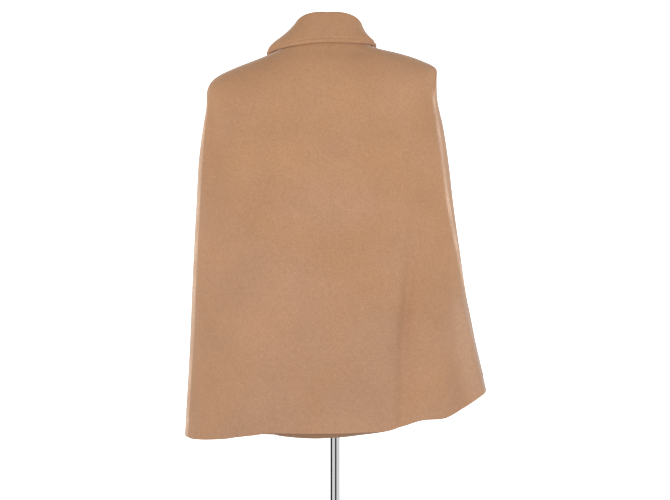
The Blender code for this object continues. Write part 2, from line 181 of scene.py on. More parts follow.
SECTIONS: tuple[Section, ...] = (
    Section(0.000, 0.017, 0.062, 1.413, -0.064, -0.006, 1.393, -0.088, 1.352,
            0.098, -0.006, 1.387, 2.0, 2.0, 90, 270),
    Section(0.040, 0.021, 0.085, 1.380, -0.090, -0.006, 1.3835, -0.118, 1.310,
            0.140, -0.006, 1.3690, 2.0, 2.0, 90, 270),
    Section(0.085, 0.024, 0.101, 1.341, -0.131, -0.006, 1.3750, -0.138, 1.264,
            0.185, -0.006, 1.3520, 2.1, 2.1, 89, 270),
    Section(0.130, 0.025, 0.112, 1.302, -0.171, -0.007, 1.3635, -0.151, 1.222,
            0.224, -0.006, 1.3365, 2.2, 2.2, 86, 270),
    Section(0.165, 0.025, 0.118, 1.272, -0.203, -0.008, 1.3485, -0.158, 1.190,
            0.248, -0.006, 1.3245, 2.3, 2.3, 82, 271),
    Section(0.185, 0.025, 0.121, 1.254, -0.2142, -0.010, 1.3360, -0.161, 1.172,
            0.2625, -0.006, 1.3120, 2.35, 2.35, 79, 272),
    Section(0.205, 0.025, 0.1235, 1.236, -0.2156, -0.012, 1.3170, -0.164, 1.153,
            0.2700, -0.006, 1.2955, 2.4, 2.35, 76, 274),
    Section(0.240, 0.025, 0.126, 1.204, -0.2170, -0.018, 1.2840, -0.168, 1.120,
            0.2712, -0.006, 1.2650, 2.4, 2.3, 72, 278),
    Section(0.310, 0.023, 0.129, 1.137, -0.2320, -0.028, 1.2145, -0.173, 1.052,
            0.2810, -0.006, 1.2000, 2.4, 2.2, 69, 283),
    Section(0.380, 0.020, 0.132, 1.070, -0.2430, -0.032, 1.1430, -0.177, 0.985,
            0.2880, -0.006, 1.1350, 2.35, 2.2, 68, 285),
    Section(0.470, 0.016, 0.138, 0.982, -0.2520, -0.033, 1.0520, -0.182, 0.900,
            0.2920, -0.006, 1.0450, 2.3, 2.2, 70, 285),
    Section(0.570, 0.010, 0.147, 0.884, -0.2640, -0.030, 0.9500, -0.188, 0.812,
            0.2965, -0.006, 0.9300, 2.3, 2.2, 76, 285),
    Section(0.670, 0.005, 0.158, 0.785, -0.2770, -0.030, 0.8500, -0.195, 0.726,
            0.3015, -0.006, 0.8150, 2.25, 2.2, 85, 285),
    Section(0.760, 0.002, 0.172, 0.694, -0.2950, -0.036, 0.7630, -0.201, 0.648,
            0.3060, -0.005, 0.7080, 2.2, 2.2, 93, 284),
    Section(0.870, 0.000, 0.190, 0.584, -0.3200, -0.046, 0.6640, -0.210, 0.557,
            0.3125, -0.002, 0.5720, 2.2, 2.2, 98, 284),
)

FOLDS: tuple[Fold, ...] = (
    Fold(0.42, 0.99, 36, 21, 8, -0.010),
    Fold(0.40, 0.80, 31, 14, 8, 0.004),
    Fold(0.62, 0.99, 55, 52, 8, -0.012),
    Fold(0.60, 0.99, 68, 70, 9, 0.006),
    Fold(0.78, 0.95, 338, 337, 5, -0.004),
    Fold(0.22, 0.44, 300, 304, 10, -0.005),
    Fold(0.30, 0.99, 118, 122, 10, -0.010),
    Fold(0.36, 0.99, 142, 150, 9, 0.008),
    Fold(0.34, 0.99, 246, 240, 10, -0.010),
    Fold(0.45, 0.99, 222, 214, 9, 0.007),
)

# Shallow creases and pulls that are too fine for the solid cloth.
FINE_FOLDS: tuple[Fold, ...] = (
    Fold(0.40, 0.74, 42.3, 26.0, 1.8, -0.0050),
    Fold(0.48, 0.97, 34.0, 20.0, 2.4, -0.0052),
    Fold(0.38, 0.70, 37.6, 22.0, 2.6, 0.0032),
    Fold(0.48, 0.92, 40, 29, 3.6, 0.0026),
    Fold(0.54, 0.99, 68.5, 52.5, 3.8, -0.0034),
    Fold(0.56, 0.99, 76, 64, 4.5, 0.0024),
    Fold(0.77, 0.95, 335.8, 335.8, 1.8, -0.0026),
    Fold(0.42, 0.86, 93, 97, 11, 0.0045),
    Fold(0.36, 0.96, 124, 129, 4.0, -0.0030),
    Fold(0.44, 0.98, 243, 237, 4.0, -0.0034),
    Fold(0.15, 0.40, 312, 306, 4, -0.0012),
    Fold(0.18, 0.36, 320, 322, 6, 0.0010),
    Fold(0.20, 0.34, 60, 66, 5, -0.0010),
    Fold(0.50, 0.92, 6, 3, 9, 0.0018),
    Fold(0.55, 0.95, 348, 346, 10, -0.0016),
    Fold(0.70, 0.95, 318, 315, 7, 0.0016),
    Fold(0.66, 0.95, 41, 40, 6, 0.0022),
    Fold(0.28, 0.60, 160, 164, 7, 0.0016),
    Fold(0.24, 0.55, 205, 200, 7, -0.0016),
    Fold(0.60, 0.95, 190, 188, 8, 0.0018),
)

SPOTS: tuple[Spot, ...] = (
    Spot(0.184, 80, 0.020, 7, 0.0030),
    Spot(0.222, 68, 0.030, 6, -0.0012),
    Spot(0.285, 296, 0.045, 5, -0.0040),
    Spot(0.262, 303, 0.014, 4, 0.0016),
    Spot(0.235, 290, 0.022, 3, -0.0018),
    Spot(0.063, 6, 0.015, 34, -0.0024),
    Spot(0.070, 30, 0.016, 14, -0.0012),
    Spot(0.330, 60, 0.050, 8, -0.0012),
    Spot(0.250, 118, 0.040, 9, -0.0026),
    Spot(0.270, 246, 0.040, 9, -0.0022),
)

HEM: tuple[HemRow, ...] = (
    HemRow(-180, -0.0030), HemRow(-125, -0.0030), HemRow(-98, 0.0014), HemRow(-75, 0.0040),
    HemRow(-70, 0.0066), HemRow(-62, 0.0085), HemRow(-54, 0.0094), HemRow(-47, 0.0094),
    HemRow(-42, 0.0088), HemRow(-37, 0.0062), HemRow(-32, 0.0046), HemRow(-27.5, 0.0026),
    HemRow(-25, 0.0006), HemRow(-23, -0.0012), HemRow(-20, 0.0002), HemRow(-16, 0.0014),
    HemRow(-7, 0.0026), HemRow(2, 0.0024), HemRow(8, 0.0020), HemRow(13, 0.0034),
    HemRow(16.5, 0.0041), HemRow(19, 0.0030), HemRow(21, 0.0008), HemRow(25, -0.0018),
    HemRow(29, -0.0030), HemRow(33, -0.0002), HemRow(37.5, 0.0052), HemRow(42, 0.0094),
    HemRow(50, 0.0096), HemRow(56, 0.0086), HemRow(62, 0.0032), HemRow(68, -0.0004),
    HemRow(80, 0.0006), HemRow(90, 0.0022), HemRow(104, 0.0012),
    HemRow(122, -0.0050), HemRow(150, -0.0050), HemRow(180, -0.0030),
)

UNDER_LAYER: tuple[SagRow, ...] = (
    SagRow(-23.0, 0.0), SagRow(-21.5, 0.0022), SagRow(-19.5, 0.0040), SagRow(-16.0, 0.0056),
    SagRow(-12.0, 0.0070), SagRow(-8.5, 0.0077), SagRow(-5.5, 0.0083), SagRow(-2.0, 0.0073),
    SagRow(3.5, 0.0055), SagRow(6.5, 0.0042), SagRow(10.0, 0.0027), SagRow(13.0, 0.0013),
    SagRow(17.0, 0.0),
)

SEAM_VALLEYS: tuple[SeamRow, ...] = (
    SeamRow(0.00, 0.0010, 0.0010), SeamRow(0.17, 0.0016, 0.0012), SeamRow(0.23, 0.0030, 0.0022),
    SeamRow(0.32, 0.0060, 0.0034), SeamRow(0.45, 0.0060, 0.0034), SeamRow(0.60, 0.0030, 0.0030),
    SeamRow(0.75, 0.0016, 0.0028), SeamRow(0.87, 0.0012, 0.0026),
)

COLLAR: tuple[CollarRow, ...] = (
    CollarRow(0, 0.0280, 0.0280, 0.002, 0.002, 0.0410, 0.0410, 0.001, 0.001),
    CollarRow(38, 0.0352, 0.0356, 0.006, 0.007, 0.0400, 0.0430, 0.001, 0.003),
    CollarRow(65, 0.0385, 0.0382, 0.013, 0.015, 0.0355, 0.0420, 0.001, 0.006),
    CollarRow(90, 0.0370, 0.0365, 0.016, 0.018, 0.0340, 0.0420, 0.001, 0.008),
    CollarRow(120, 0.0300, 0.0300, 0.011, 0.013, 0.0460, 0.0490, 0.003, 0.007),
    CollarRow(150, 0.0190, 0.0190, 0.004, 0.004, 0.0660, 0.0660, 0.004, 0.004),
    CollarRow(170, 0.0120, 0.0120, 0.000, 0.000, 0.0800, 0.0800, 0.004, 0.004),
    CollarRow(180, 0.0100, 0.0100, -0.002, -0.002, 0.0840, 0.0840, 0.004, 0.004),
)


BACK_CURL = Curl(0.008, 0.6, 0.0004)
FRONT_CURL = Curl(0.005, 0.35, 0.0013)

# A wave texture's scale at which its bands are one unit apart.
BAND_SCALE = 0.3142

# Distances from the collar's edge at which its wall has points, close together at the stitching.
STITCH_POINTS = (0.0022, 0.0055, 0.0075, 0.0086, 0.0093, 0.0100, 0.0111, 0.0130)

WAVES: tuple[Wave, ...] = (
    Wave(1.0, (9, 0, 5), 1.3, (0, -6, 7), 0.4),
    Wave(0.6, (17, 8, -11), 0.0, (0, 0, 13), 2.1),
    Wave(0.35, (31, 7, 3), 0.7, (-9, 0, 23), 0.0),
)

LAMPS: tuple[Lamp, ...] = (
    Lamp("key_soft", (-2.1, 2.9, 1.2), (0.0, 0.0, 0.95), 1.4, 25.0),
    Lamp("fill_soft", (2.0, 3.0, 1.0), (0.0, 0.0, 0.95), 1.6, 22.0),
    Lamp("rim_left", (2.7, -1.1, 0.95), (0.2, 0.0, 0.95), 1.5, 13.0),
    Lamp("rim_right", (-2.7, -1.0, 0.95), (-0.2, 0.0, 0.95), 1.5, 8.0),
)

DARK_CARDS: tuple[DarkCard, ...] = (
    DarkCard(-0.75, 3.6, 2.5), DarkCard(2.04, -0.82, 3.2), DarkCard(-1.4, -2.4, 0.5),
)


class SmoothTable:
    """Reads a table of rows smoothly between its rows, by its first column."""

    def __init__(self, rows: Sequence[NamedTuple]) -> None:
        """Keeps the rows and works out slopes that don't overshoot them.

        Args:
            rows: the table's rows, in the order of their first column.
        """
        data = np.array(rows, float)
        self.names = rows[0]._fields
        self.places, self.values = data[:, 0], data[:, 1:]
        steps = np.diff(self.places)
        rises = np.diff(self.values, axis=0) / steps[:, None]
        before, after = rises[:-1], rises[1:]
        agree = before * after > 0
        weight_a = (2 * steps[1:] + steps[:-1])[:, None]
        weight_b = (steps[1:] + 2 * steps[:-1])[:, None]
        mean = (weight_a + weight_b) / (
            weight_a / np.where(agree, before, 1.0) + weight_b / np.where(agree, after, 1.0)
        )
        self.slopes = np.zeros_like(self.values)
        self.slopes[1:-1] = np.where(agree, mean, 0.0)
        self.slopes[0], self.slopes[-1] = rises[0], rises[-1]

    def at(self, places: np.ndarray) -> dict[str, np.ndarray]:
        """Every column's value at the places.

        Args:
            places: values of the first column, in an array of any shape.

        Returns:
            The columns by name, each in the shape of places.
        """
        where = np.clip(np.asarray(places, float), self.places[0], self.places[-1])
        i = np.clip(np.searchsorted(self.places, where, "right") - 1, 0, len(self.places) - 2)
        step = self.places[i + 1] - self.places[i]
        t = ((where - self.places[i]) / step)[..., None]
        step = step[..., None]
        value = (
            self.values[i] * (1 + 2 * t) * (1 - t) ** 2
            + self.slopes[i] * step * t * (1 - t) ** 2
            + self.values[i + 1] * t * t * (3 - 2 * t)
            + self.slopes[i + 1] * step * t * t * (t - 1)
        )
        return {name: value[..., k] for k, name in enumerate(self.names[1:])}


def smooth_step(value: np.ndarray | float) -> np.ndarray:
    """0 below 0, 1 above 1, and a smooth rise between."""
    value = np.clip(value, 0.0, 1.0)
    return value * value * (3 - 2 * value)


def rise(value: float, start: float, reach: float) -> float:
    """A smooth rise from 0 at the start to 1 where the reach ends."""
    return float(smooth_step((value - start) / reach))


def bell(distance: np.ndarray | float, reach: float) -> np.ndarray:
    """A soft bell that is 1 at a distance of 0 and fades beyond the reach."""
    return np.exp(-((distance / reach) ** 2))


def unit(vectors: np.ndarray) -> np.ndarray:
    """The vectors at a length of 1."""
    return vectors / np.maximum(np.linalg.norm(vectors, axis=-1, keepdims=True), 1e-12)


@dataclass
class CapeShape:
    """The outer face of the cape as a formula of bearing and down.

    Lengths are in metres. The hem and the fronts' edges are doubled over their turns. A fold
    rises and falls over shares of its own length.
    """

    wool: float = 0.003
    doubled: float = 0.0055
    hem_turn: float = 0.040
    edge_turn: float = 0.045
    hem_fade: float = 0.10
    gap: float = 0.0003
    overlap: float = 0.025
    tuck: float = 0.0066
    tuck_start: float = 0.095
    tuck_end: float = 0.050
    fold_rise: float = 0.5
    fold_fall: float = 0.08
    fold_sharpness: float = 1.6
    uneven: float = 0.0009
    loose_from: float = 0.12
    ring_samples: int = 400
    sections: SmoothTable = field(default_factory=lambda: SmoothTable(SECTIONS))
    hem: SmoothTable = field(default_factory=lambda: SmoothTable(HEM))
    valleys: SmoothTable = field(default_factory=lambda: SmoothTable(SEAM_VALLEYS))

    @property
    def hem_down(self) -> float:
        """How far down the hem lies."""
        return SECTIONS[-1].down

    def ring(self, down: np.ndarray, bearing: np.ndarray) -> np.ndarray:
        """Points of the sections' rings, without folds.

        Args:
            down: metres from the neck.
            bearing: degrees, in the same shape.

        Returns:
            Points, with one more axis than down.
        """
        s = self.sections.at(down)
        turn = np.mod(bearing, 360.0)
        back = (turn <= 90) | (turn >= 270)
        right = turn <= 180
        end = [np.where(right, s[f"right_{a}"], s[f"left_{a}"]) for a in "xyz"]
        mid_y = np.where(back, s["back_y"], s["front_y"])
        mid_z = np.where(back, s["back_z"], s["front_z"])
        exponent = 2 / np.where(back, s["back_n"], s["front_n"])
        sine = np.abs(np.sin(np.radians(turn)))
        cosine = np.abs(np.cos(np.radians(turn)))
        return np.stack(
            [
                s["middle"] + (end[0] - s["middle"]) * sine**exponent,
                end[1] + (mid_y - end[1]) * cosine**exponent,
                mid_z + (end[2] - mid_z) * sine * sine,
            ],
            axis=-1,
        )

    def normal(self, down: np.ndarray, bearing: np.ndarray) -> np.ndarray:
        """The outward direction of the cloth, without folds.

        Args:
            down: metres from the neck.
            bearing: degrees, in the same shape.

        Returns:
            Unit vectors, with one more axis than down.
        """
        turn, step = 1.5, 0.004
        low = np.maximum(down - step, 0.0)
        high = np.minimum(down + step, self.hem_down)
        across = self.ring(down, bearing + turn) - self.ring(down, bearing - turn)
        along = self.ring(high, bearing) - self.ring(low, bearing)
        return unit(np.cross(along, across))

    def fold_lift(self, down: np.ndarray, bearing: np.ndarray) -> np.ndarray:
        """How far the folds and spots move the cloth outwards.

        Args:
            down: metres from the neck.
            bearing: degrees, in the same shape.

        Returns:
            Metres outwards, in the same shape.
        """
        total = np.zeros(np.shape(down))
        for fold in (*FOLDS, *FINE_FOLDS):
            along = (down - fold.start) / (fold.end - fold.start)
            middle = fold.bearing_top + (fold.bearing_low - fold.bearing_top) * along
            across = np.mod(bearing - middle + 180, 360) - 180
            fade = smooth_step(along / self.fold_rise) * smooth_step((1 - along) / self.fold_fall)
            shape = np.exp(-((across / fold.reach) ** 2) * self.fold_sharpness)
            total += np.where((along > 0) & (along < 1), fold.depth * fade * shape, 0.0)
        for spot in SPOTS:
            across = (np.mod(bearing - spot.bearing + 180, 360) - 180) / spot.reach_round
            along = (down - spot.down) / spot.reach_down
            total += spot.depth * np.exp(-(across * across + along * along))
        return total

    def unevenness(self, point: np.ndarray) -> np.ndarray:
        """A slow, shallow unevenness that hanging wool has.

        Args:
            point: points on the cloth, in the last axis.

        Returns:
            Metres outwards, with one axis fewer than point.
        """
        total = np.zeros(point.shape[:-1])
        for wave in WAVES:
            first = np.sin(point @ np.array(wave.first) + wave.first_start)
            total += wave.share * first * np.sin(point @ np.array(wave.second) + wave.second_start)
        return self.uneven * total

    def point(
        self, down: np.ndarray, bearing: np.ndarray, lift: np.ndarray | float = 0.0
    ) -> np.ndarray:
        """Points on the cape's outer face, moved out by lift.

        Args:
            down: metres from the neck.
            bearing: degrees, in the same shape.
            lift: metres outwards.

        Returns:
            Points, with one more axis than down.
        """
        base = self.ring(down, bearing)
        low = smooth_step((down - self.hem_down + self.hem_fade) / self.hem_fade)
        drop = low * self.hem.at(np.mod(bearing + 180, 360) - 180)["drop"]
        loose = smooth_step(down / self.loose_from)
        out = self.fold_lift(down, bearing) + self.unevenness(base) * loose + lift
        point = base + self.normal(down, bearing) * out[..., None]
        point[..., 2] -= drop
        return point

    def lengths(self, down: float, start: float, end: float) -> tuple[np.ndarray, np.ndarray]:
        """Bearings along a ring, and the ring's length up to each.

        Args:
            down: metres from the neck.
            start: the first bearing.
            end: the last bearing.

        Returns:
            The bearings and the lengths.
        """
        bearings = np.linspace(start, end, self.ring_samples)
        points = self.ring(np.full_like(bearings, down), bearings)
        steps = np.linalg.norm(np.diff(points, axis=0), axis=1)
        return bearings, np.concatenate([[0.0], np.cumsum(steps)])

    def past(self, down: float, distance: float, towards: float) -> float:
        """The bearing that lies a distance from the centre front, on the side of towards."""
        bearings, lengths = self.lengths(down, 180, towards)
        return float(np.interp(distance, lengths, bearings))

    def seams(self, down: float) -> tuple[float, float]:
        """The bearings of the right and the left side seam."""
        s = self.sections.at(np.array(down))
        return float(s["seam_r"]), float(s["seam_l"])


def mesh_object(
    name: str, points: np.ndarray, faces: Sequence[Sequence[int]], levels: int = 0,
    painted_light: Optional[np.ndarray] = None,
) -> bpy.types.Object:
    """A smooth shaded mesh object.

    Args:
        name: the object's name.
        points: an array of (count, 3).
        faces: indices of each face's points.
        levels: how often the mesh is subdivided.
        painted_light: the painted highlight and sheen at each point, kept on the mesh for its
            material. Below 0 it is painted shade.

    Returns:
        The object, linked to the scene.
    """
    mesh = bpy.data.meshes.new(name)
    mesh.from_pydata(np.asarray(points, float).tolist(), [], [list(f) for f in faces])
    mesh.update()
    # Painted highlight, sheen and shade are kept on the mesh as a point attribute, which the wool
    # material paints into its colour.
    if painted_light is not None:
        layer = mesh.attributes.new("painted_light", "FLOAT", "POINT")
        layer.data.foreach_set("value", np.asarray(painted_light, np.float32))
    edit = bmesh.new()
    edit.from_mesh(mesh)
    bmesh.ops.recalc_face_normals(edit, faces=edit.faces)
    edit.to_mesh(mesh)
    edit.free()
    mesh.shade_smooth()
    made = bpy.data.objects.new(name, mesh)
    bpy.context.scene.collection.objects.link(made)
    if levels:
        detail = made.modifiers.new("detail", "SUBSURF")
        detail.levels = detail.render_levels = levels
    return made


def wall_faces(rows: int, columns: int) -> list[tuple[int, ...]]:
    """Faces of a closed wall made of two grids of points and the rim between them.

    Args:
        rows: how many rows each grid has.
        columns: how many points a row has.

    Returns:
        Indices of each face's points.
    """
    faces: list[tuple[int, ...]] = []
    count = rows * columns
    for r in range(rows - 1):
        for c in range(columns - 1):
            a = r * columns + c
            d = a + columns
            faces.append((a, a + 1, d + 1, d))
            faces.append((count + a, count + d, count + d + 1, count + a + 1))
    rim = list(range(columns))
    rim += [r * columns + columns - 1 for r in range(1, rows)]
    rim += [(rows - 1) * columns + c for c in range(columns - 2, -1, -1)]
    rim += [r * columns for r in range(rows - 2, 0, -1)]
    for a, b in zip(rim, rim[1:] + rim[:1]):
        faces.append((a, count + a, count + b, b))
    return faces


def grid_normals(points: np.ndarray) -> np.ndarray:
    """Normals of a grid of points by differences.

    Args:
        points: points in rows and columns.

    Returns:
        Unit vectors in the same shape.
    """
    down = np.gradient(points, axis=0)
    across = np.gradient(points, axis=1)
    return unit(np.cross(down, across))


def spaced(edges: Sequence[tuple[float, float, int]]) -> np.ndarray:
    """Places along a line, without repeats, from spans of (start, end, count)."""
    places = [np.linspace(a, b, n, endpoint=False) for a, b, n in edges]
    return np.concatenate([*places, [edges[-1][1]]])


@dataclass
class Panel:
    """One cut panel of the cape, built as a closed shell of cloth.

    A side of None is the back. Places are metres along a level from the panel's first edge.
    """

    name: str
    node: str
    shape: CapeShape
    side: Optional[Side] = None
    columns: int = 96
    levels: int = 1
    tucked_edge: float = 0.0045
    tucked_gap: float = 0.0006
    edge_soft: float = 0.0016

    def edges(self, down: float) -> tuple[float, float]:
        """The panel's first and last bearing at a level.

        Args:
            down: metres from the neck.

        Returns:
            The two bearings.
        """
        right, left = self.shape.seams(down)
        if self.side is None:
            return left - 360, right
        if self.side is Side.RIGHT:
            return right, self.shape.past(down, self.shape.overlap, 260)
        return left, self.shape.past(down, self.shape.overlap, 100)

    def rows(self) -> np.ndarray:
        """Levels from the neck to the hem, closer together at the hem and the shoulders.

        Returns:
            Metres from the neck.
        """
        low = self.shape.hem_down
        turn = low - self.shape.hem_turn
        return spaced([
            (0.0, 0.10, 12), (0.10, 0.26, 22), (0.26, turn - 0.02, 46),
            (turn - 0.02, turn + 0.012, 8), (turn + 0.012, low - 0.012, 5), (low - 0.012, low, 5),
        ])

    def across(self, width: float) -> np.ndarray:
        """Distances along a level, closer together at both edges.

        Args:
            width: the panel's width at the level.

        Returns:
            The distances from the panel's first edge.
        """
        small, near, wide = self.shape.gap / 2, 0.014, 0.05
        if self.side is None:
            return spaced([
                (small, near, 7), (near, wide, 6), (wide, width - wide, self.columns - 26),
                (width - wide, width - near, 6), (width - near, width - small, 7),
            ])
        turn = width - self.shape.edge_turn
        return spaced([
            (-self.tucked_edge, small, 3), (small, near, 7), (near, wide, 6),
            (wide, turn - 0.012, self.columns - 36), (turn - 0.012, turn + 0.008, 8),
            (turn + 0.008, width - 0.010, 8), (width - 0.010, width, 7),
        ])

    def grid(self) -> tuple[np.ndarray, np.ndarray, np.ndarray, np.ndarray]:
        """Works out where the panel's points lie.

        Returns:
            The points' levels, places and bearings in rows, and each row's width.
        """
        shape, levels = self.shape, self.rows()
        bearing_rows, place_rows, widths = [], [], []
        for down in levels.tolist():
            bearings, lengths = shape.lengths(down, *self.edges(down))
            places = self.across(float(lengths[-1]))
            turn = (bearings[1] - bearings[0]) / (lengths[1] - lengths[0])
            before = bearings[0] + np.minimum(places, 0.0) * turn
            bearing_rows.append(np.where(places < 0, before, np.interp(places, lengths, bearings)))
            place_rows.append(places)
            widths.append(float(lengths[-1]))
        bearing = np.array(bearing_rows)
        down = np.repeat(levels[:, None], bearing.shape[1], axis=1)
        return down, np.array(place_rows), bearing, np.array(widths)

    def valley(self, distance: np.ndarray, down: float, seam: Side) -> np.ndarray:
        """How far the cloth curls in to meet its side seam.

        Args:
            distance: metres from the seam.
            down: metres from the neck.
            seam: the side the seam lies on.

        Returns:
            Metres inwards.
        """
        depths = self.shape.valleys.at(np.array(down))
        depth = float(depths["right" if seam is Side.RIGHT else "left"])
        form = BACK_CURL if self.side is None else FRONT_CURL
        under = (self.shape.wool + self.tucked_gap) * smooth_step(-distance / 0.0022 + 0.3)
        distance = np.maximum(distance, 0.0)
        curl = depth * form.share * np.exp(-((distance / form.reach) ** 2) * 1.4) + under
        pucker = 0.0003 * np.sin(down * 310 + 2 * math.sin(down * 47)) * np.exp(-distance / 0.009)
        ridge = form.ridge * bell(distance - 0.0055, 0.0032)
        return curl - pucker - ridge * min(1.0, depth / 0.0025)

    def lift(
        self, place: np.ndarray, bearing: np.ndarray, width: float, down: float
    ) -> np.ndarray:
        """How far a row's points stand off the cape's plain outer face.

        Args:
            place: the points' places.
            bearing: the points' bearings.
            width: the row's width.
            down: metres from the neck.

        Returns:
            Metres outwards.
        """
        shape = self.shape
        turned = shape.hem_down - shape.hem_turn
        total = np.full_like(place, 0.00045 * float(bell(down - turned, 0.006)))
        if self.side is None:
            total -= self.valley(place, down, Side.LEFT)
            return total - self.valley(width - place, down, Side.RIGHT)
        total -= self.valley(place, down, self.side)
        total += 0.0004 * bell(place - (width - shape.edge_turn), 0.006)
        if self.side is Side.LEFT:
            near, far = (shape.past(down, d, 262) for d in (shape.tuck_end, shape.tuck_start))
            total -= shape.tuck * smooth_step((far - bearing) / (far - near))
        return total

    def back_painted_light(self, distance: np.ndarray, bearing: np.ndarray, down: float) -> np.ndarray:
        """Painted light on the back: a painted highlight along the left side seam and a faint
        painted sheen low on the right. Below 0 it is painted shade under the collar and over the
        shoulders.

        Args:
            distance: metres from the left side seam.
            bearing: the points' bearings.
            down: metres from the neck.

        Returns:
            Values up to 1.
        """
        # Painted light: a painted highlight along the left side seam, a faint painted sheen low on
        # the right, painted shade under the collar and painted shade over the shoulders.
        painted_seam_highlight = 0.70 * rise(down, 0.24, 0.03) * smooth_step((0.0100 - distance) / 0.006)
        painted_sheen_low_right = 0.14 * rise(down, 0.58, 0.12) * smooth_step((bearing - 55) / 9)
        painted_shade_under_collar = 0.13 * bell(down - 0.045, 0.04) * bell(bearing, 32)
        shoulders = 0.06 * (1 - rise(down, 0.10, 0.12))
        return painted_seam_highlight + painted_sheen_low_right - painted_shade_under_collar - shoulders

    def front_painted_light(self, distance: np.ndarray, down: float) -> np.ndarray:
        """Painted highlight and painted sheen along a front's side seam.

        Args:
            distance: metres from the seam.
            down: metres from the neck.

        Returns:
            Values from 0 to 1.
        """
        # Painted highlight and sheen: a wide pale strip along the left front's seam. On the right
        # front, a bright line that widens lower down and fades out, over a faint broad painted
        # sheen. Its strength wavers slowly down the seam.
        top = rise(down, 0.215, 0.03)
        highlight_strength = 0.82 + 0.18 * math.sin(down * 61 + 1.7 * math.sin(down * 23))
        if self.side is Side.LEFT:
            return top * highlight_strength * smooth_step((0.036 - distance) / 0.022)
        line_width = 0.0075 + 0.016 * rise(down, 0.42, 0.2)
        fades = 1.0 - rise(down, 0.60, 0.12)
        line = 0.85 * top * highlight_strength * fades * smooth_step((line_width - distance) / 0.004)
        return np.maximum(line, 0.12 * top * smooth_step((0.16 - distance) / 0.05))

    def thickness(self, place: np.ndarray, width: float, down: float) -> np.ndarray:
        """The cloth's thickness, doubled by the turned-up hem and the turned-back edge.

        Args:
            place: the points' places.
            width: the row's width.
            down: metres from the neck.

        Returns:
            Metres at each point.
        """
        shape, step = self.shape, 0.004
        extra = np.full_like(place, rise(down, shape.hem_down - shape.hem_turn - step, step))
        if self.side is not None:
            extra = np.maximum(extra, smooth_step((place - (width - shape.edge_turn)) / step))
        return shape.wool + (shape.doubled - shape.wool) * extra

    def build(self) -> bpy.types.Object:
        """Builds the closed shell from its outer and inner grid of points.

        Returns:
            The panel, which stands for its node.
        """
        down, place, bearing, widths = self.grid()
        lift, thick, painted_light = (np.zeros_like(bearing) for _ in range(3))
        for i, (level, width) in enumerate(zip(down[:, 0].tolist(), widths.tolist())):
            lift[i] = self.lift(place[i], bearing[i], width, level)
            thick[i] = self.thickness(place[i], width, level)
            # Each point's painted highlight, sheen or shade, which the wool material paints into
            # the colour.
            if self.side is None:
                painted_light[i] = self.back_painted_light(place[i], bearing[i], level)
            else:
                painted_light[i] = self.front_painted_light(place[i], level)
        outer = self.shape.point(down, bearing, lift)
        normals = grid_normals(outer)
        plain = self.shape.normal(down, bearing)
        normals *= np.sign(np.sum(normals * plain, axis=-1, keepdims=True))
        soft = self.rounding(place, widths, down)
        inner = outer - normals * (thick * (1 - 0.30 * soft))[..., None]
        outer = outer - normals * (thick * 0.16 * soft)[..., None]
        if self.side is None:
            outer, inner, painted_light = self.with_under_layer(outer, inner, painted_light, bearing[-1])
        points = np.concatenate([outer.reshape(-1, 3), inner.reshape(-1, 3)])
        painted_light_values = np.concatenate([painted_light.ravel(), np.zeros(painted_light.size)])
        made = mesh_object(self.name, points, wall_faces(*outer.shape[:2]), self.levels, painted_light_values)
        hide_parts(self.node)
        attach(made, ROOT)
        return made

    def with_under_layer(
        self, outer: np.ndarray, inner: np.ndarray, painted_light: np.ndarray, bearing: np.ndarray
    ) -> tuple[np.ndarray, np.ndarray, np.ndarray]:
        """Lets the hem's under layer hang out below the fold in the middle of the back, with
        painted shade in its colour.

        Args:
            outer: the outer grid of points.
            inner: the inner grid of points.
            painted_light: the painted light and shade at each point.
            bearing: the bearings along the hem.

        Returns:
            The three grids with the under layer's rows.
        """
        turn = np.mod(bearing + 180, 360) - 180
        sag = np.interp(turn, *zip(*UNDER_LAYER))[:, None]
        share = sag / (sag + 0.0012)
        up = np.array([0.0, 0.0, 1.0])
        edge, back = outer[-1], inner[-1]
        inwards = unit(back - edge)
        middle = edge + (back - edge) * 0.42
        bend = middle + inwards * 0.0060 * share - up * sag * 0.45
        tip = middle + inwards * 0.0135 * share - up * sag
        new_outer = [middle + up * 0.0016 * share, bend, tip]
        new_inner = [
            back + up * 0.0010 * share,
            np.where(share > 0.05, bend + inwards * 0.0016 + up * 0.0022, back),
            np.where(share > 0.05, tip + inwards * 0.0016 + up * 0.0014, back),
        ]
        outer = np.concatenate([outer, np.array(new_outer)])
        inner = np.concatenate([inner, np.array(new_inner)])
        # The under layer gets painted shade, darkest along its first row where it meets the fold.
        shade = -0.55 * np.repeat(share.T, 3, axis=0)
        shade[0] *= 1.6
        return outer, inner, np.concatenate([painted_light, shade])

    def rounding(self, place: np.ndarray, widths: np.ndarray, down: np.ndarray) -> np.ndarray:
        """How far the wall thins to a round edge, at the hem and a front's free edge.

        Args:
            place: the points' places.
            widths: each row's width.
            down: the points' levels.

        Returns:
            Values from 0 to 1.
        """
        hem = bell(self.shape.hem_down - down, self.edge_soft)
        if self.side is None:
            return hem
        return np.maximum(hem, bell(widths[:, None] - place, self.edge_soft))


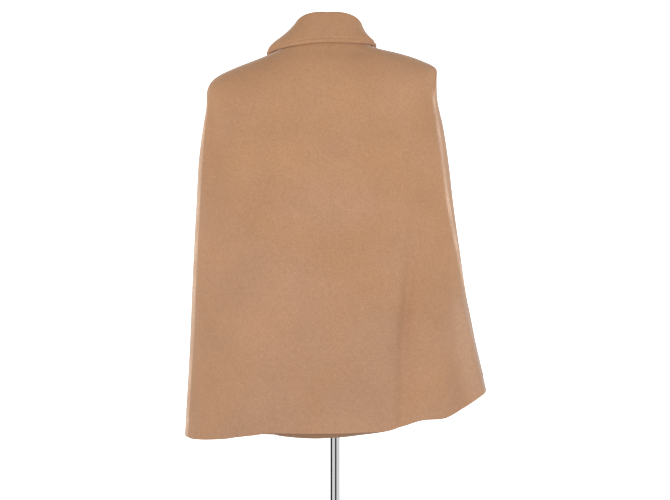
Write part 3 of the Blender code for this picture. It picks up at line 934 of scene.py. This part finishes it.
@dataclass
class Collar:
    """The collar: one doubled wall that stands, rolls over and falls to its outer edge.

    It ends at the bearing end on the right and at its mirror image on the left.
    """

    shape: CapeShape
    wall: float = 0.005
    roll_radius: float = 0.0045
    end: float = 178.6
    seat: float = 0.0024
    lift: float = -0.0002
    bow_place: float = 0.7
    stations: int = 150
    stand_points: int = 9
    roll_points: int = 8
    fall_points: int = 30
    stitch_inset: float = 0.0093
    stitch_zone: float = 0.035
    groove: float = 0.0030
    ridge: float = 0.0012
    edge_thin: float = 0.45
    hub_y: float = -0.006
    settle: float = 0.0009
    flare: float = 0.0022
    # A painted shade that darkens the whole collar's colour a little.
    painted_shade: float = -0.11
    levels: int = 1
    table: SmoothTable = field(default_factory=lambda: SmoothTable(COLLAR))

    def profile(self, bearing: float) -> tuple[np.ndarray, np.ndarray]:
        """The middle line of the wall at a bearing, from the neck seam to the edge.

        Args:
            bearing: degrees round the neck.

        Returns:
            The line's points and the outward direction at the neck.
        """
        mirrored = bearing > 180
        row = self.table.at(np.array(360 - bearing if mirrored else bearing))
        suffix = "l" if mirrored else "r"
        stand, lean, reach, bow = (
            float(row[f"{name}_{suffix}"]) for name in ("stand", "lean", "reach", "bow")
        )
        turn = np.array(bearing)
        base = self.shape.point(np.array(0.0), turn, np.array(-self.shape.wool / 2))
        middle_x = float(self.shape.sections.at(np.array(0.0))["middle"])
        hub = np.array([middle_x, self.hub_y, base[2]])
        out = unit(base - hub)
        up = np.array([0.0, 0.0, 1.0])
        base = base + up * self.seat
        top = base + up * stand - out * lean
        points = [base + (top - base) * (i / self.stand_points) for i in range(self.stand_points)]
        middle = top + out * self.roll_radius
        for i in range(self.roll_points + 1):
            angle = math.pi * (1 - i / self.roll_points)
            around = out * math.cos(angle) + up * math.sin(angle)
            points.append(middle + around * self.roll_radius)
        start = points[-1]
        sine_share = abs(math.sin(math.radians(bearing)))
        settled = self.lift - self.settle * sine_share
        edge = self.shape.point(np.array(reach), turn, np.array(settled + self.wall / 2))
        above = unit(np.cross(np.cross(out, up), edge - start))
        bend = start + (edge - start) * self.bow_place + above * (2 * bow)
        length = float(np.linalg.norm(edge - start))
        near = [1 - distance / length for distance in STITCH_POINTS]
        places = np.linspace(0, 1, self.fall_points - len(near) + 1)[1:]
        places = places[places < 1 - 0.016 / length]
        places = np.sort(np.concatenate([places, near, [1.0]]))
        flare = above * self.flare * rise(sine_share, 0.3, 0.6)
        for t in places:
            point = start * (1 - t) ** 2 + bend * 2 * t * (1 - t) + edge * t * t
            points.append(point - flare * math.sin(2 * math.pi * t))
        return np.array(points), out

    def build(self) -> bpy.types.Object:
        """Builds the closed wall round the profiles, with a stitched groove near its edge.

        Returns:
            The collar, which stands for its node.
        """
        bearings = np.linspace(self.end, -self.end, self.stations + 1) % 360
        outer, inner = [], []
        lines, outs = zip(*(self.profile(float(b)) for b in bearings))
        count = min(len(line) for line in lines)
        for line, out in zip(lines, outs):
            if len(line) > count:
                cut = self.stand_points + self.roll_points + 1
                keep = [i for i in range(len(line)) if not cut <= i < cut + len(line) - count]
                line = line[keep]
            across = np.cross(out, [0.0, 0.0, 1.0])
            ahead = np.gradient(line, axis=0)
            side = unit(np.cross(across, ahead))
            steps = np.linalg.norm(np.diff(line, axis=0), axis=1)
            from_edge = np.concatenate([np.cumsum(steps[::-1])[::-1], [0.0]])
            above = from_edge - self.stitch_inset
            ridges = self.ridge * (bell(above + 0.0033, 0.0022) + bell(above - 0.0032, 0.0020))
            relief = ridges - self.groove * bell(above, 0.0012)
            relief = np.where(from_edge < self.stitch_zone, relief, 0.0)
            half = self.wall / 2 * (1 - self.edge_thin * bell(from_edge, 0.0012))
            outer.append(line + side * (half + relief)[:, None])
            inner.append(line - side * half[:, None])
        points = np.concatenate([np.concatenate(outer), np.concatenate(inner)])
        faces = wall_faces(len(bearings), count)
        # Every point of the collar gets the same painted shade value.
        made = mesh_object(
            "collar_wool", points, faces, self.levels, np.full(len(points), self.painted_shade)
        )
        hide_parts("collar")
        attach(made, ROOT)
        return made


class Graph:
    """A node tree under construction."""

    def __init__(self, tree: bpy.types.NodeTree) -> None:
        """Starts on an empty tree."""
        self.tree = tree
        tree.nodes.clear()

    def node(self, kind: str, **settings: object) -> bpy.types.Node:
        """Adds a node.

        Args:
            kind: the node's type.
            settings: its properties, and its inputs by their labels with _ for a space.

        Returns:
            The node.
        """
        made = self.tree.nodes.new(kind)
        for name, value in settings.items():
            label = name.replace("_", " ")
            if hasattr(made, name):
                setattr(made, name, value)
            else:
                made.inputs[label].default_value = value
        return made

    def link(self, source: Socket, target: Socket) -> None:
        """Joins an output to an input."""
        self.tree.links.new(source, target)

    def noise(self, vector: Socket, scale: float, detail: float, roughness: float = 0.5) -> Socket:
        """Adds a noise field.

        Args:
            vector: where the field is read.
            scale: how fine it is.
            detail: how many finer layers it has.
            roughness: how strong they are.

        Returns:
            Its value.
        """
        made = self.node("ShaderNodeTexNoise", Scale=scale, Detail=detail, Roughness=roughness)
        self.link(vector, made.inputs["Vector"])
        return made.outputs[0]

    def scaled(
        self, value: Socket, low: float, high: float, to_low: float, to_high: float
    ) -> Socket:
        """Maps a range of values to another, and holds them in it.

        Args:
            value: the value to map.
            low: the start of its range.
            high: the end of its range.
            to_low: what low becomes.
            to_high: what high becomes.

        Returns:
            The mapped value.
        """
        made = self.node(
            "ShaderNodeMapRange", From_Min=low, From_Max=high, To_Min=to_low, To_Max=to_high
        )
        self.link(value, made.inputs["Value"])
        return made.outputs["Result"]

    def mixed(self, share: Socket, first: Socket, second: Colour) -> Socket:
        """A colour that goes from one to another.

        Args:
            share: how much of the second colour there is.
            first: the first colour.
            second: the second colour.

        Returns:
            The mixed colour.
        """
        made = self.node("ShaderNodeMix", data_type="RGBA", clamp_factor=True)
        self.link(share, made.inputs[0])
        self.link(first, made.inputs[6])
        made.inputs[7].default_value = (*second, 1.0)
        return made.outputs[2]

    def maths(self, how: str, a: Socket | float, b: Socket | float) -> Socket:
        """Works out a value from two others.

        Args:
            how: the operation.
            a: the first value.
            b: the second value.

        Returns:
            The result.
        """
        made = self.node("ShaderNodeMath", operation=how)
        for socket, value in zip(made.inputs, (a, b)):
            if isinstance(value, Socket):
                self.link(value, socket)
            else:
                socket.default_value = value
        return made.outputs[0]


def surface_group(
    name: str, fine: float, mottle: float, slow: float, knit: float = 0.0,
    blush: Optional[Colour] = None, painted_highlight: Optional[Colour] = None,
) -> bpy.types.NodeTree:
    """A group that varies a colour and gives a normal for a fibrous surface, and paints light and
    shade into the colour from the mesh's mask.

    Args:
        name: the group's name.
        fine: the fibre texture's scale.
        mottle: the scale of the mottling.
        slow: the scale of the slow colour changes.
        knit: the wale spacing of a knit in metres, or 0.
        blush: a second tone that slow patches drift to.
        painted_highlight: the pale colour of a painted highlight and sheen, placed by the mesh's
            painted light mask, which darkens the colour as painted shade below 0.

    Returns:
        The group, with inputs Colour, Contrast and Relief and outputs Colour and Normal.
    """
    tree = bpy.data.node_groups.new(name, "ShaderNodeTree")
    tree.interface.new_socket("Colour", in_out="INPUT", socket_type="NodeSocketColor")
    for label, value in (("Contrast", 0.1), ("Relief", 0.5)):
        socket = tree.interface.new_socket(label, in_out="INPUT", socket_type="NodeSocketFloat")
        socket.default_value = value
    tree.interface.new_socket("Colour", in_out="OUTPUT", socket_type="NodeSocketColor")
    tree.interface.new_socket("Normal", in_out="OUTPUT", socket_type="NodeSocketVector")
    g = Graph(tree)
    given, result = g.node("NodeGroupInput"), g.node("NodeGroupOutput")
    place = g.node("ShaderNodeTexCoord").outputs["Object"]
    fibre = g.noise(place, fine, 4.0, 0.65)
    patch = g.noise(place, mottle, 5.0, 0.6)
    drift = g.noise(place, slow, 2.0)
    total = g.maths("ADD", g.maths("MULTIPLY", fibre, 0.62), g.maths("MULTIPLY", patch, 0.20))
    total = g.maths("ADD", total, g.maths("MULTIPLY", drift, 0.18))
    swing = g.maths("MULTIPLY", g.scaled(total, 0.35, 0.65, -1.0, 1.0), given.outputs["Contrast"])
    light = g.maths("ADD", swing, 1.0)
    base = given.outputs["Colour"]
    if blush:
        split = g.node("ShaderNodeSeparateXYZ")
        g.link(place, split.inputs[0])
        patches = g.scaled(g.noise(place, 5.5, 3.0), 0.40, 0.60, -0.35, 0.35)
        share = g.maths("ADD", patches, g.scaled(split.outputs["Z"], 1.35, 0.70, 0.0, 0.75))
        base = g.mixed(share, base, blush)
    # Painted light: where the mesh's mask is above 0 it mixes in a pale painted highlight and
    # sheen, and where it is below 0 it darkens the colour as painted shade.
    if painted_highlight:
        mask = g.node("ShaderNodeAttribute", attribute_name="painted_light")
        broken = g.scaled(g.noise(place, 260.0, 2.0), 0.35, 0.60, 0.75, 1.0)
        base = g.mixed(g.maths("MULTIPLY", mask.outputs["Fac"], broken), base, painted_highlight)
        light = g.maths("MULTIPLY", light, g.scaled(mask.outputs["Fac"], -1.0, 0.0, 0.5, 1.0))
    tint = g.node("ShaderNodeVectorMath", operation="SCALE")
    g.link(base, tint.inputs[0])
    g.link(light, tint.inputs["Scale"])
    g.link(tint.outputs[0], result.inputs["Colour"])
    height = g.maths("ADD", g.maths("MULTIPLY", fibre, 0.6), g.maths("MULTIPLY", patch, 0.7))
    if knit:
        wave = g.node("ShaderNodeTexWave", wave_type="BANDS", bands_direction="X")
        wave.inputs["Scale"].default_value = BAND_SCALE / knit
        wave.inputs["Distortion"].default_value = 0.6
        g.link(place, wave.inputs["Vector"])
        height = g.maths("ADD", height, g.maths("MULTIPLY", wave.outputs["Fac"], 0.6))
    bump = g.node("ShaderNodeBump", Distance=0.0006)
    g.link(given.outputs["Relief"], bump.inputs["Strength"])
    g.link(height, bump.inputs["Height"])
    g.link(bump.outputs["Normal"], result.inputs["Normal"])
    return tree


@dataclass(frozen=True)
class Finish:
    """A surface finish: one Principled shader, with a surface group where it has one."""

    name: str
    colour: Colour
    roughness: float = 0.5
    metallic: float = 0.0
    sheen: float = 0.0
    sheen_roughness: float = 0.30
    sheen_tint: Colour = (1.0, 1.0, 1.0)
    specular: float = 0.5
    coat: float = 0.0
    contrast: float = 0.0
    relief: float = 0.0

    def make(self, group: Optional[bpy.types.NodeTree] = None) -> bpy.types.Material:
        """Makes the material.

        Args:
            group: the surface group that varies the colour and the normal.

        Returns:
            The material.
        """
        made = bpy.data.materials.new(self.name)
        made.use_nodes = True
        g = Graph(made.node_tree)
        shader, out = g.node("ShaderNodeBsdfPrincipled"), g.node("ShaderNodeOutputMaterial")
        for label, value in (
            ("Base Color", (*self.colour, 1.0)), ("Roughness", self.roughness),
            ("Metallic", self.metallic), ("Sheen Weight", self.sheen),
            ("Sheen Roughness", self.sheen_roughness), ("Sheen Tint", (*self.sheen_tint, 1.0)),
            ("Specular IOR Level", self.specular), ("Coat Weight", self.coat),
        ):
            shader.inputs[label].default_value = value
        g.link(shader.outputs[0], out.inputs["Surface"])
        if group:
            surface = g.node("ShaderNodeGroup")
            surface.node_tree = group
            surface.inputs["Colour"].default_value = (*self.colour, 1.0)
            surface.inputs["Contrast"].default_value = self.contrast
            surface.inputs["Relief"].default_value = self.relief
            g.link(surface.outputs["Colour"], shader.inputs["Base Color"])
            g.link(surface.outputs["Normal"], shader.inputs["Normal"])
        return made


WOOL = Finish(
    "camel_wool", (0.515, 0.281, 0.152), roughness=0.92, sheen=0.7,
    sheen_tint=(1.0, 0.93, 0.86), specular=0.15, contrast=0.17, relief=0.5,
)
JERSEY = Finish(
    "cover_jersey", (0.72, 0.70, 0.66), roughness=0.9, specular=0.2, contrast=0.05, relief=0.3
)
HORN = Finish(
    "button_horn", (0.105, 0.052, 0.026), roughness=0.28, coat=0.2, contrast=0.35, relief=0.05
)
BEECH = Finish(
    "cap_beech", (0.50, 0.31, 0.16), roughness=0.45, coat=0.1, contrast=0.18, relief=0.1
)
CHROME = Finish("stand_chrome", (0.62, 0.62, 0.63), roughness=0.03, metallic=1.0)
FLOOR = Finish("pale_floor", (0.80, 0.80, 0.80), roughness=0.9, specular=0.1)
CARD = Finish("dark_card", (0.01, 0.01, 0.01), roughness=1.0, specular=0.0)


@dataclass
class Cape:
    """The cape: its back, two fronts and collar."""

    shape: CapeShape = field(default_factory=CapeShape)
    made: dict[str, bpy.types.Object] = field(default_factory=dict)

    def build(self) -> None:
        """Builds the cloth pieces."""
        panels = (
            Panel("back_wool", "back", self.shape, None, columns=112),
            Panel("front_right_wool", "front_right", self.shape, Side.RIGHT, columns=92),
            Panel("front_left_wool", "front_left", self.shape, Side.LEFT, columns=92),
        )
        for panel in panels:
            self.made[panel.node] = panel.build()
            log.info("built %s", panel.name)
        self.made["collar"] = Collar(self.shape).build()
        log.info("built collar_wool")

    def dress(self) -> None:
        """Gives the cloth its finish."""
        # The wool's group paints into the colour the highlight, sheen and shade that each piece's
        # mask gives.
        wool = WOOL.make(surface_group(
            "wool_nap_and_painted_light", fine=430.0, mottle=130.0, slow=9.0,
            blush=(0.510, 0.290, 0.178), painted_highlight=(0.84, 0.60, 0.44),
        ))
        for piece in self.made.values():
            piece.data.materials.append(wool)


@dataclass
class DressForm:
    """The dress form, its stand and the buttons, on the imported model's own pieces."""

    buttons: tuple[str, ...] = ("button_1", "button_2", "button_3", "button_4")

    def dress(self) -> None:
        """Gives the form, the stand and the buttons their finishes."""
        jersey = JERSEY.make(surface_group("jersey_knit", 700.0, 90.0, 6.0, knit=0.0012))
        horn = HORN.make(surface_group("horn_streaks", 260.0, 70.0, 20.0))
        beech = BEECH.make(surface_group("beech_grain", 500.0, 60.0, 12.0))
        chrome = CHROME.make()
        for node, material in (
            ("form_torso", jersey), ("form_neck_cap", beech), ("pole", chrome),
            ("pole_socket", chrome), ("base_plate", chrome), ("base_hub", chrome),
            *((name, horn) for name in self.buttons),
        ):
            piece = bpy.data.objects.get(node)
            if piece is not None and piece.type == "MESH":
                piece.data.materials.clear()
                piece.data.materials.append(material)
                log.info("dressed %s", node)


@dataclass
class Studio:
    """The floor, lights, cards and camera.

    The world's strength falls from world at the horizon to zenith overhead. The camera sees it
    brighter by seen.
    """

    distance: float = 3.2
    eye: float = 0.72
    pitch: float = 4.236
    lens: float = 82.1
    world: float = 1.02
    zenith: float = 0.35
    seen: float = 1.0
    floor_radius: float = 2.8
    card_low: float = 0.02
    card_high: float = 0.6

    def build(self) -> None:
        """Builds the studio round the object."""
        bpy.context.scene.view_settings.view_transform = "Standard"
        self.air()
        self.floor()
        for lamp in LAMPS:
            self.light(lamp)
        self.cards()
        self.camera()

    def air(self) -> None:
        """A white surrounding that is brightest at the horizon."""
        world = bpy.data.worlds.new("studio_air")
        world.use_nodes = True
        g = Graph(world.node_tree)
        sky, out = g.node("ShaderNodeBackground"), g.node("ShaderNodeOutputWorld")
        sky.inputs["Color"].default_value = (1.0, 1.0, 1.0, 1.0)
        place = g.node("ShaderNodeSeparateXYZ")
        g.link(g.node("ShaderNodeTexCoord").outputs["Generated"], place.inputs[0])
        height = g.scaled(place.outputs["Z"], -0.1, 0.85, self.world, self.zenith)
        camera_ray = g.node("ShaderNodeLightPath").outputs["Is Camera Ray"]
        strength = g.maths("ADD", height, g.maths("MULTIPLY", camera_ray, self.seen))
        g.link(strength, sky.inputs["Strength"])
        g.link(sky.outputs[0], out.inputs["Surface"])
        bpy.context.scene.world = world

    def floor(self) -> None:
        """A plain pale floor under the object."""
        edit = bmesh.new()
        bmesh.ops.create_circle(edit, cap_ends=True, segments=96, radius=self.floor_radius)
        mesh = bpy.data.meshes.new("floor")
        edit.to_mesh(mesh)
        edit.free()
        made = bpy.data.objects.new("floor", mesh)
        mesh.materials.append(FLOOR.make())
        bpy.context.scene.collection.objects.link(made)

    def light(self, lamp: Lamp) -> None:
        """Adds a light turned to its target.

        Args:
            lamp: the light's row.
        """
        data = bpy.data.lights.new(lamp.name, "AREA")
        data.size, data.energy = lamp.size, lamp.power
        made = bpy.data.objects.new(lamp.name, data)
        made.location = lamp.place
        towards = Vector(lamp.target) - Vector(lamp.place)
        made.rotation_euler = towards.to_track_quat("-Z", "Y").to_euler()
        made.visible_glossy = False
        bpy.context.scene.collection.objects.link(made)

    def cards(self) -> None:
        """Dark cards round the stand that only its chrome reflects, as dark bands."""
        finish = CARD.make()
        low, high = self.card_low, self.card_high
        for i, card in enumerate(DARK_CARDS, start=1):
            side = card.width / 2
            corners = [(-side, 0, low), (side, 0, low), (side, 0, high), (-side, 0, high)]
            made = mesh_object(f"dark_card_{i}", np.array(corners), [(0, 1, 2, 3)])
            made.location = (card.x, card.y, 0.0)
            made.rotation_euler = (0.0, 0.0, math.atan2(card.y, card.x) - math.pi / 2)
            made.data.materials.append(finish)
            made.visible_camera = False
            made.visible_diffuse = False
            made.visible_shadow = False

    def camera(self) -> None:
        """A camera behind the object, a little below its middle and tipped up."""
        data = bpy.data.cameras.new("camera")
        data.lens, data.sensor_width = self.lens, 36.0
        made = bpy.data.objects.new("camera", data)
        made.location = (0.0, self.distance, self.eye)
        made.rotation_euler = (math.radians(90 + self.pitch), 0.0, math.pi)
        bpy.context.scene.collection.objects.link(made)
        bpy.context.scene.camera = made


def main() -> None:
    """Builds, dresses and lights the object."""
    logging.basicConfig(level=logging.INFO, format="%(name)s: %(message)s")
    cape = Cape()
    cape.build()
    cape.dress()
    DressForm().dress()
    Studio().build()


if __name__ == "__main__":
    main()
